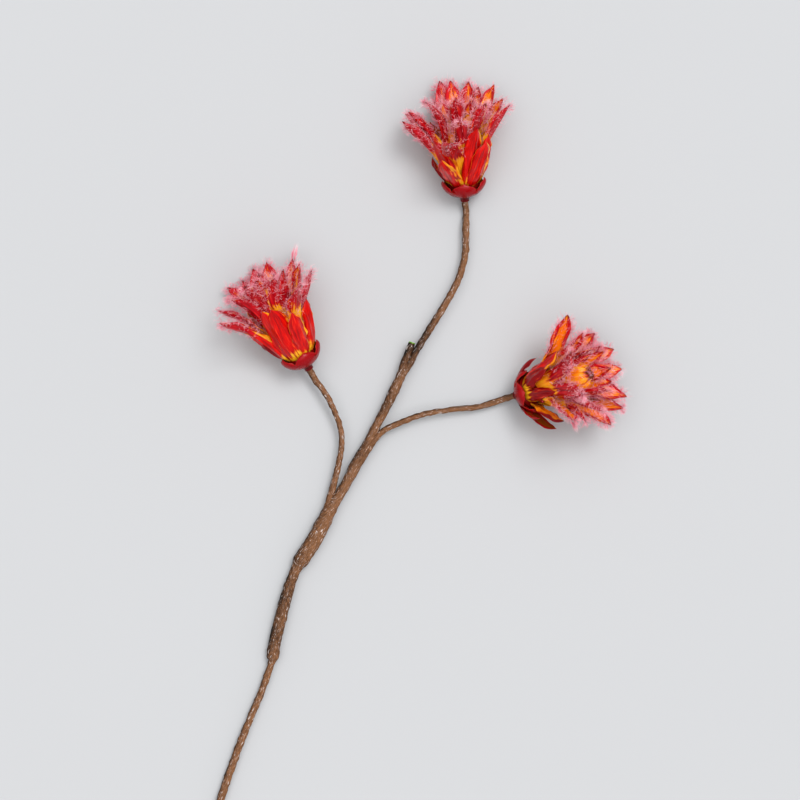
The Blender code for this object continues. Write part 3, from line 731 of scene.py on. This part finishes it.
def add_taped_bar(shell, rings, sides, settings, seed, tip):
    """A bar under paper tape wound in a spiral, with the tape's edge and creases raised on it."""
    points, grain, paint = [], [], []
    side = Vector((0, 0, 1))
    run = 0.0
    for i, (centre, radius) in enumerate(rings):
        ahead = rings[min(i + 1, len(rings) - 1)][0]
        behind = rings[max(i - 1, 0)][0]
        run += (centre - behind).length
        along = (ahead - behind).normalized()
        side = (side - along * side.dot(along)).normalized()
        other = along.cross(side)
        still = radius <= PEG_RADIUS + PEG_STEP or i in (0, len(rings) - 1)
        for k in range(sides):
            share = (k + 0.5) / sides
            turn = math.tau * share
            lap = (run / settings.pitch + share + seed * 0.37) % 1
            x, y = CREASE_RING * math.cos(turn), CREASE_RING * math.sin(turn)
            crease = noise.noise(Vector((x, y, run * CREASES_ALONG + seed * 9)))
            rise = settings.edge * ((1 - lap) ** 3 - 0.5) + settings.crease * crease
            reach = radius + (0 if still else rise)
            points.append(centre + (side * math.cos(turn) + other * math.sin(turn)) * reach)
            grain.append((run, radius * turn, seed))
            # Painted light: shade darkens each bar's bottom left side, and a weaker painted
            # highlight lightens its top right side. Both go into the second paint number with the
            # tape's real stains.
            side_shade = math.cos(turn - PAINTED_SHADE_SIDE)
            last = tip * (i == len(rings) - 1)
            paint.append((lap, stain_at(centre) + 0.75 * max(side_shade, 0.6 * side_shade), last))
    points += [rings[0][0], rings[-1][0]]
    grain += [(0, 0, seed), (run, 0, seed)]
    paint += [(0.5, 0.2, 0), (0.5, 1, tip)]
    faces = loft_faces(len(rings), sides)
    shell.add(on_floor(np.array(points)), faces, np.array(grain), np.array(paint), (0, 0, 0))


def add_fibres(shell, bloom, petal, count, settings, petals, draw):
    """Bent spindles that stand on a petal's faces and margins, and at some tips in a long tuft."""
    tufted = (bloom.name, petal.azimuth) in TUFTED
    tuft = np.arange(count) < count * TUFT_SHARE * tufted
    margin = draw.random(count) < MARGIN_SHARE
    hand = np.where(draw.random(count) < 0.5, -1.0, 1.0)
    face = np.where(draw.random(count) < OUTER_SHARE, -1.0, 1.0)
    # Clumps lie closer together towards the tip, and a tuft starts just short of it
    clump = draw.integers(0, CLUMPS, count)
    along = 0.26 + 0.72 * draw.random(CLUMPS)[clump] ** 0.6 + draw.normal(0, 0.022, count)
    along = np.where(tuft, draw.uniform(0.93, 0.99, count), np.minimum(along, 0.985))
    across = draw.uniform(-0.8, 0.8, CLUMPS)[clump] + draw.normal(0, 0.12, count)
    across = np.clip(across, -0.95, 0.95)
    across = np.where(margin & ~tuft, hand * draw.uniform(0.82, 1, count), across)
    base, normal, side, onward = petal_surface(
        petal, along, across, petals.hook, petals.wave, petals.groove
    )
    # A root is sunk a little into the petal, and its fibre leans out of it and on to the tip
    depth = petals.thickness / 2 * np.sqrt(1 - across**2) * 0.8
    root = base + normal * (face * depth)[:, None]
    stand = face * np.where(tuft, 0.05, np.where(margin, 0.25, 0.55))
    spread = np.where(tuft, -0.3 * across, np.where(margin, 0.75 * hand, 0.25 * across))
    way = onward + normal * stand[:, None] + side * spread[:, None]
    way = way + draw.normal(0, 1, (count, 3)) * np.where(tuft, 0.08, 0.45)[:, None]
    way /= np.linalg.norm(way, axis=1)[:, None]
    length = settings.length * draw.uniform(0.4, 1, count) * (0.65 + 0.35 * ease(0.3, 0.7, along))
    length = np.where(tuft, settings.length * draw.uniform(1.2, 2.2, count), length)
    bend = np.cross(way, draw.normal(0, 1, (count, 3)))
    bend = bend * (length * np.where(tuft, 0.03, 0.26))[:, None]
    reach = way * length[:, None]
    first = np.cross(way, (0.01, 0.02, 1))
    first /= np.linalg.norm(first, axis=1)[:, None]
    second = np.cross(way, first)
    middle = root + FIBRE_MIDDLE * reach + bend
    ring = [
        middle + settings.radius * (first * math.cos(a) + second * math.sin(a))
        for a in (0, math.tau / 3, 2 * math.tau / 3)
    ]
    points = to_spray(bloom, np.stack((root, *ring, root + reach), 1).reshape(-1, 3))
    points = points.reshape(-1, 5, 3)
    # A fibre that would reach through the floor is lifted clear of it
    points[:, :, 2] += np.maximum(0, FLOOR_GAP - points[:, :, 2].min(1))[:, None]
    spindle = np.array(((0, 2, 1), (0, 3, 2), (0, 1, 3), (4, 1, 2), (4, 2, 3), (4, 3, 1)))
    faces = (spindle + 5 * np.arange(count)[:, None, None]).reshape(-1, 3)
    share = np.tile((0, FIBRE_MIDDLE, FIBRE_MIDDLE, FIBRE_MIDDLE, 1), count)
    tone = np.repeat(draw.random(count), 5)
    shell.add(points.reshape(-1, 3), faces, columns(share, tone, 0), 0, 0)


# Settings that many nodes share
RGBA = {"data_type": "RGBA"}
SMOOTH = {"interpolation_type": "SMOOTHSTEP"}
ADD = {"operation": "ADD"}
SCALE_ADD = {"operation": "MULTIPLY_ADD"}
BELOW = {"operation": "LESS_THAN"}


def add_node(tree, kind, links=None, settings=None, stops=()):
    """Adds a shader node with its inputs (values, nodes or sockets), settings and ramp stops."""
    made = tree.nodes.new("ShaderNode" + kind)
    for key, value in (settings or {}).items():
        setattr(made, key, value)
    for key, value in (links or {}).items():
        socket = made.inputs[key]
        if isinstance(value, bpy.types.Node):
            value = next(output for output in value.outputs if output.enabled)
        if isinstance(value, bpy.types.NodeSocket):
            tree.links.new(value, socket)
        elif socket.type == "RGBA":
            socket.default_value = (*value, 1)
        else:
            socket.default_value = value
    for i, (place, colour) in enumerate(stops):
        ramp = made.color_ramp.elements
        stop = ramp[i] if i < len(ramp) else ramp.new(place)
        stop.position = place
        stop.color = (*colour, 1)
    return made


def make_material(recipe, settings):
    """A material named for its recipe, a function that joins the nodes and returns the shader."""
    material = bpy.data.materials.new(recipe.__name__)
    material.use_nodes = True
    material.node_tree.nodes.clear()
    node = partial(add_node, material.node_tree)
    node("OutputMaterial", {"Surface": recipe(node, settings)})
    return material


def read_marks(node):
    """A piece's grain as one vector, and each of its three marks split into numbers."""
    marks = [
        node("Attribute", None, {"attribute_name": label}).outputs["Vector"] for label in MARKS
    ]
    return marks[0], [node("SeparateXYZ", {0: mark}).outputs for mark in marks]


def airbrushed_foam_petal(node, settings):
    """Moulded foam sheet, airbrushed: satin, with the paint in streaks along the petal."""
    place, (_, paint, trait) = read_marks(node)
    # A streak is about 1.1 mm wide and 14 mm long
    fine = node("Mapping", {0: place, 3: (70, 900, 11)})
    streak = node("TexNoise", {"Vector": fine, "Scale": 1, "Detail": 4, "Roughness": 0.6})
    # A blotch of paint is about 4 mm wide and 9 mm long
    broad = node("Mapping", {0: place, 3: (110, 260, 7)})
    blotch = node("TexNoise", {"Vector": broad, "Scale": 1, "Detail": 2})
    shift = node("MapRange", {0: streak, 1: 0.3, 2: 0.7, 3: -0.35, 4: 0.35})
    patch = node("MapRange", {0: blotch, 1: 0.35, 2: 0.65, 3: -0.22, 4: 0.22})
    both = node("Math", {0: shift, 1: patch}, ADD)
    warm = node("Math", {0: paint[0], 1: both}, ADD)
    ground = node("Mix", {0: warm, 6: settings.yellow, 7: settings.orange}, RGBA)
    coat = node("Mix", {0: trait[0], 6: settings.red, 7: settings.crimson}, RGBA)
    coat = node("Mix", {0: trait[1], 6: coat, 7: settings.sepal}, RGBA)
    # Some streaks are painted dark as shade, and others pale as a painted highlight
    shade_streak = node("MapRange", {0: streak, 1: 0.44, 2: 0.7, 4: 0.75})
    coat = node("Mix", {0: shade_streak, 6: coat, 7: settings.tip}, RGBA)
    highlight_streak = node("MapRange", {0: streak, 1: 0.42, 2: 0.28, 4: 0.55})
    coat = node("Mix", {0: highlight_streak, 6: coat, 7: settings.highlight_paint}, RGBA)
    wet = node("Math", {0: paint[1], 1: both}, ADD)
    cover = node("MapRange", {0: wet, 1: 0.25, 2: 0.7}, SMOOTH)
    colour = node("Mix", {0: cover, 6: ground, 7: coat}, RGBA)
    end = node("Math", {0: shift, 1: 0.8, 2: paint[2]}, SCALE_ADD)
    end = node("MapRange", {0: end, 1: 0.35, 2: 0.9}, SMOOTH)
    colour = node("Mix", {0: end, 6: colour, 7: settings.tip}, RGBA)
    # Painted shade: the core inside the head takes the dark core colour.
    within = node("Math", {0: trait[0], 1: -0.5}, BELOW)
    colour = node("Mix", {0: within, 6: colour, 7: settings.core}, RGBA)
    relief = node("Bump", {"Strength": 0.5, "Distance": 0.0004, "Height": streak})
    gloss = node("MapRange", {0: blotch, 3: 0.14, 4: 0.32})
    return node("BsdfPrincipled", {
        "Base Color": colour, "Roughness": gloss, "IOR": 1.49, "Specular IOR Level": 0.3,
        "Normal": relief,
    })


def airbrushed_foam_bract(node, settings):
    """The same foam, thicker and dipped: a deeper red with a soft waxy gloss and a bright rim."""
    place, (_, paint, _) = read_marks(node)
    # A streak is about 1.5 mm wide and 12 mm long
    fine = node("Mapping", {0: place, 3: (80, 650, 11)})
    streak = node("TexNoise", {"Vector": fine, "Scale": 1, "Detail": 3, "Roughness": 0.6})
    shift = node("MapRange", {0: streak, 1: 0.3, 2: 0.7, 3: -0.4, 4: 0.4})
    # The second paint number darkens the face with painted shade towards the root and with stains.
    stain_and_shade_share = node("Math", {0: paint[1], 1: shift}, ADD)
    stain_and_shade_share = node("MapRange", {0: stain_and_shade_share, 1: 0.3, 2: 1.3}, SMOOTH)
    face = node("Mix", {0: stain_and_shade_share, 6: settings.face, 7: settings.dark}, RGBA)
    bright = node("Math", {0: shift, 1: 0.6, 2: paint[0]}, SCALE_ADD)
    bright = node("MapRange", {0: bright, 1: 0.2, 2: 1.2})
    face = node("Mix", {0: bright, 6: face, 7: settings.rim}, RGBA)
    lining = node("Mix", {0: stain_and_shade_share, 6: settings.lining, 7: settings.face}, RGBA)
    colour = node("Mix", {0: paint[2], 6: face, 7: lining}, RGBA)
    relief = node("Bump", {"Strength": 0.4, "Distance": 0.0004, "Height": streak})
    gloss = node("MapRange", {0: streak, 3: 0.18, 4: 0.34})
    return node("BsdfPrincipled", {
        "Base Color": colour, "Roughness": gloss, "IOR": 1.49, "Specular IOR Level": 0.3,
        "Normal": relief,
    })


def flock_fibre(node, settings):
    """Cut nylon flock: pale and slightly shiny ends over rose roots, with shade painted darker
    towards the root.
    """
    _, (grain, _, _) = read_marks(node)
    # Painted shade: the ramp darkens each fibre towards its root.
    stops = ((0, settings.root), (FIBRE_MIDDLE, settings.middle), (1, settings.end))
    root_shade_ramp = node("ValToRGB", {0: grain[0]}, stops=stops)
    stops = [(share, linear(tone)) for share, tone in FIBRE_TONES]
    tint = node("ValToRGB", {0: grain[1]}, stops=stops)
    colour = node("Mix", {0: 0.45, 6: root_shade_ramp, 7: tint}, RGBA)
    return node("BsdfPrincipled", {
        "Base Color": colour, "Roughness": 0.5, "IOR": 1.53, "Sheen Weight": 0.3,
    })


def crepe_paper_tape(node, settings):
    """Waxed crepe paper, wound tight: dull brown, scuffed light on its creases, with pale loose
    fibre.
    Shade is painted on each bar's bottom left side and a highlight on its top right side.
    """
    place, (_, paint, _) = read_marks(node)
    # Creases along the stalk are 0.3 mm apart, too fine to show, so they are drawn 0.8 mm apart
    crepe = node("Mapping", {0: place, 3: (260, 1300, 1)})
    crepe = node("TexNoise", {"Vector": crepe, "Scale": 1, "Detail": 4, "Roughness": 0.65})
    # A damp-looking smear is about 4 mm wide and 9 mm long
    smear = node("Mapping", {0: place, 3: (110, 260, 3)})
    smear = node("TexNoise", {"Vector": smear, "Scale": 1, "Detail": 5, "Roughness": 0.7})
    wear_and_light = node("MapRange", {0: crepe, 1: 0.42, 2: 0.66, 4: 0.9})
    # The second paint number is negative on each bar's top right side, which paints a highlight
    # there in the lighter tape colour.
    wear_and_light = node("Math", {0: paint[1], 1: -0.9, 2: wear_and_light}, SCALE_ADD)
    colour = node("Mix", {0: wear_and_light, 6: settings.tape, 7: settings.worn_and_lit}, RGBA)
    damp_and_shade = node("Math", {0: smear, 1: 2.2, 2: -1.15}, SCALE_ADD)
    # The same number paints the real stains and the shade on each bar's bottom left side in the
    # dark tape colour.
    damp_and_shade = node("Math", {0: damp_and_shade, 1: paint[1]}, ADD)
    damp_and_shade = node("MapRange", {0: damp_and_shade, 1: 0.15, 2: 0.7}, SMOOTH)
    colour = node("Mix", {0: damp_and_shade, 6: colour, 7: settings.stain_and_shade}, RGBA)
    # Loose fibre lies in wisps about 1 mm wide and 4 mm long
    wisp = node("Mapping", {0: place, 3: (260, 900, 19)})
    wisp = node("TexNoise", {
        "Vector": wisp, "Scale": 1, "Detail": 3, "Roughness": 0.6, "Distortion": 0.8,
    })
    wisp = node("MapRange", {0: wisp, 1: 0.58, 2: 0.68}, SMOOTH)
    colour = node("Mix", {0: wisp, 6: colour, 7: settings.fleck}, RGBA)
    colour = node("Mix", {0: paint[2], 6: colour, 7: settings.cut}, RGBA)
    relief = node("Bump", {"Strength": 0.8, "Distance": 0.0004, "Height": crepe})
    return node("BsdfPrincipled", {
        "Base Color": colour, "Roughness": 0.62, "Specular IOR Level": 0.2, "Normal": relief,
    })


def matt_vinyl_floor(node, settings):
    """Seamless vinyl, rolled: even and matt, with only a trace of mottling."""
    place = node("TexCoord").outputs["Object"]
    # Mottling is about 0.3 m across
    mottle = node("TexNoise", {"Vector": place, "Scale": 3, "Detail": 2})
    dull = [c * 0.985 for c in settings.floor]
    colour = node("Mix", {0: mottle, 6: settings.floor, 7: dull}, RGBA)
    return node("BsdfPrincipled", {
        "Base Color": colour, "Roughness": 0.9, "Specular IOR Level": 0.2,
    })


def settle(obj, material, node=None):
    """Gives a piece its material and slot, and lets it stand for its plain solid."""
    obj.data.materials.append(material)
    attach(obj, "root")
    if node:
        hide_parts(node)


class PROTEA_OT_stalk(bpy.types.Operator):
    """Build the taped stalk, its stub and its three branches"""

    bl_idname = "protea.stalk"
    bl_label = "Taped stalk"

    def execute(self, context):
        settings = context.scene.protea_stalk
        shell = Shell()
        add_taped_bar(shell, smooth_route(STALK), STALK_SIDES, settings, 0, 1)
        for seed, bloom in enumerate(BLOOMS, 1):
            add_taped_bar(shell, branch_rings(bloom), BRANCH_SIDES, settings, seed, 0)
        material = make_material(crepe_paper_tape, settings)
        settle(shell.build("taped_stalk"), material, "stem")
        return {"FINISHED"}


class PROTEA_OT_bracts(bpy.types.Operator):
    """Build each bloom's cup with its neck collar, short bracts and long claws"""

    bl_idname = "protea.bracts"
    bl_label = "Bracts"

    def execute(self, context):
        settings = context.scene.protea_bracts
        material = make_material(airbrushed_foam_bract, settings)
        wall = cup_line(CUP_INSET)
        lining = cup_line(CUP_INSET + CUP_WALL)
        outline = [
            (0, SOCKET_TOP), (SOCKET_RADIUS, SOCKET_TOP), (SOCKET_RADIUS, -COLLAR_LENGTH),
            (COLLAR_RADIUS, -COLLAR_LENGTH), (COLLAR_RADIUS, -COLLAR_FLARE), *wall,
            *lining[::-1], (0, lining[0][1]),
        ]
        for bloom in BLOOMS:
            shell = Shell()
            add_turned(shell, outline, CUP_SIDES, (0, 0, 0))
            for bract in bloom_bracts(bloom):
                add_petal(shell, bract, bract_paint, settings)
            shell.lay(bloom)
            settle(shell.build(bloom.name + "_bracts"), material, bloom.name + "_calyx")
        return {"FINISHED"}


class PROTEA_OT_petals(bpy.types.Operator):
    """Build each bloom's head of petals on its core"""

    bl_idname = "protea.petals"
    bl_label = "Petals"

    def execute(self, context):
        settings = context.scene.protea_petals
        material = make_material(airbrushed_foam_petal, settings)
        seat = cup_line(CUP_INSET + CUP_WALL + GAP)
        collar = [(seat[-1][0] - inset, seat[-1][1] + rise) for inset, rise in FLESH]
        outline = [(0, seat[0][1]), *seat, *collar, *CORE, (0, CORE_TOP)]
        for bloom in BLOOMS:
            shell = Shell()
            paint = partial(petal_paint, red_within=RED_WITHIN[bloom.name])
            add_turned(shell, outline, CORE_SIDES, (-1, 0, 0))
            for petal in bloom_petals(bloom):
                add_petal(shell, petal, paint, settings, settings.groove)
            shell.lay(bloom)
            settle(shell.build(bloom.name + "_head"), material, bloom.name + "_petals")
        return {"FINISHED"}


class PROTEA_OT_fibres(bpy.types.Operator):
    """Stand fibres on the hairy petals of each bloom"""

    bl_idname = "protea.fibres"
    bl_label = "Fibres"

    def execute(self, context):
        settings = context.scene.protea_fibres
        petals = context.scene.protea_petals
        material = make_material(flock_fibre, settings)
        for bloom in BLOOMS:
            shell = Shell()
            draw = np.random.default_rng(bloom.seed)
            for petal in bloom_petals(bloom):
                share = HAIRY.get(petal.kind, 0)
                if (bloom.name, petal.azimuth) in SPARSE:
                    share *= SPARSE_SHARE
                count = round(settings.count * share * (0.75 + 0.5 * petal.tone))
                if count:
                    add_fibres(shell, bloom, petal, count, settings, petals, draw)
            settle(shell.build(bloom.name + "_fibres"), material)
        return {"FINISHED"}


class PROTEA_OT_stage(bpy.types.Operator):
    """Set the pale floor, the soft lights and the camera that looks straight down"""

    bl_idname = "protea.stage"
    bl_label = "Stage"

    def execute(self, context):
        settings = context.scene.protea_stage
        scene = context.scene
        half = settings.floor_side / 2
        mesh = bpy.data.meshes.new("floor")
        corners = [(-half, -half, 0), (half, -half, 0), (half, half, 0), (-half, half, 0)]
        mesh.from_pydata(corners, [], [(0, 1, 2, 3)])
        mesh.materials.append(make_material(matt_vinyl_floor, settings))
        add_object("floor", mesh)
        aim = Vector(PICTURE_CENTRE)
        for name, place, strength, spread in (
            ("key_light", KEY_PLACE, settings.key, settings.key_spread),
            ("top_light", TOP_PLACE, settings.top, settings.top_spread),
        ):
            light = bpy.data.lights.new(name, "SUN")
            light.energy = strength
            light.angle = spread
            lamp = add_object(name, light)
            lamp.location = place
            lamp.rotation_euler = (aim - lamp.location).to_track_quat("-Z", "Y").to_euler()
        world = bpy.data.worlds.new("room")
        world.use_nodes = True
        room = world.node_tree.nodes["Background"]
        room.inputs["Color"].default_value = (1, 1, 1, 1)
        room.inputs["Strength"].default_value = settings.room
        scene.world = world
        lens = bpy.data.cameras.new("camera")
        lens.lens = LENS
        lens.sensor_width = SENSOR
        scene.camera = add_object("camera", lens)
        scene.camera.location = aim + Vector((0, 0, settings.camera_height))
        scene.view_settings.view_transform = "Standard"
        scene.view_settings.look = "Medium High Contrast"
        return {"FINISHED"}


class PROTEA_PT_spray(bpy.types.Panel):
    bl_idname = "PROTEA_PT_spray"
    bl_label = "King Protea Spray"
    bl_space_type = "VIEW_3D"
    bl_region_type = "UI"
    bl_category = "Protea"

    def draw(self, context):
        for operator, group in PARTS:
            box = self.layout.box()
            box.operator(operator.bl_idname)
            settings = getattr(context.scene, group)
            for name in settings.bl_rna.properties.keys():
                if name not in ("rna_type", "name"):
                    box.prop(settings, name)


PARTS = (
    (PROTEA_OT_stalk, "protea_stalk"),
    (PROTEA_OT_bracts, "protea_bracts"),
    (PROTEA_OT_petals, "protea_petals"),
    (PROTEA_OT_fibres, "protea_fibres"),
    (PROTEA_OT_stage, "protea_stage"),
)
SETTINGS = (StalkSettings, BractSettings, PetalSettings, FibreSettings, StageSettings)
CLASSES = (*SETTINGS, *(operator for operator, _ in PARTS), PROTEA_PT_spray)


def register():
    for item in CLASSES:
        bpy.utils.register_class(item)
    for group, (_, name) in zip(SETTINGS, PARTS):
        setattr(bpy.types.Scene, name, PointerProperty(type=group))


def unregister():
    for _, name in PARTS:
        delattr(bpy.types.Scene, name)
    for item in reversed(CLASSES):
        bpy.utils.unregister_class(item)


def main():
    register()
    bpy.ops.protea.stalk()
    bpy.ops.protea.bracts()
    bpy.ops.protea.petals()
    bpy.ops.protea.fibres()
    bpy.ops.protea.stage()


if __name__ == "__main__":
    main()
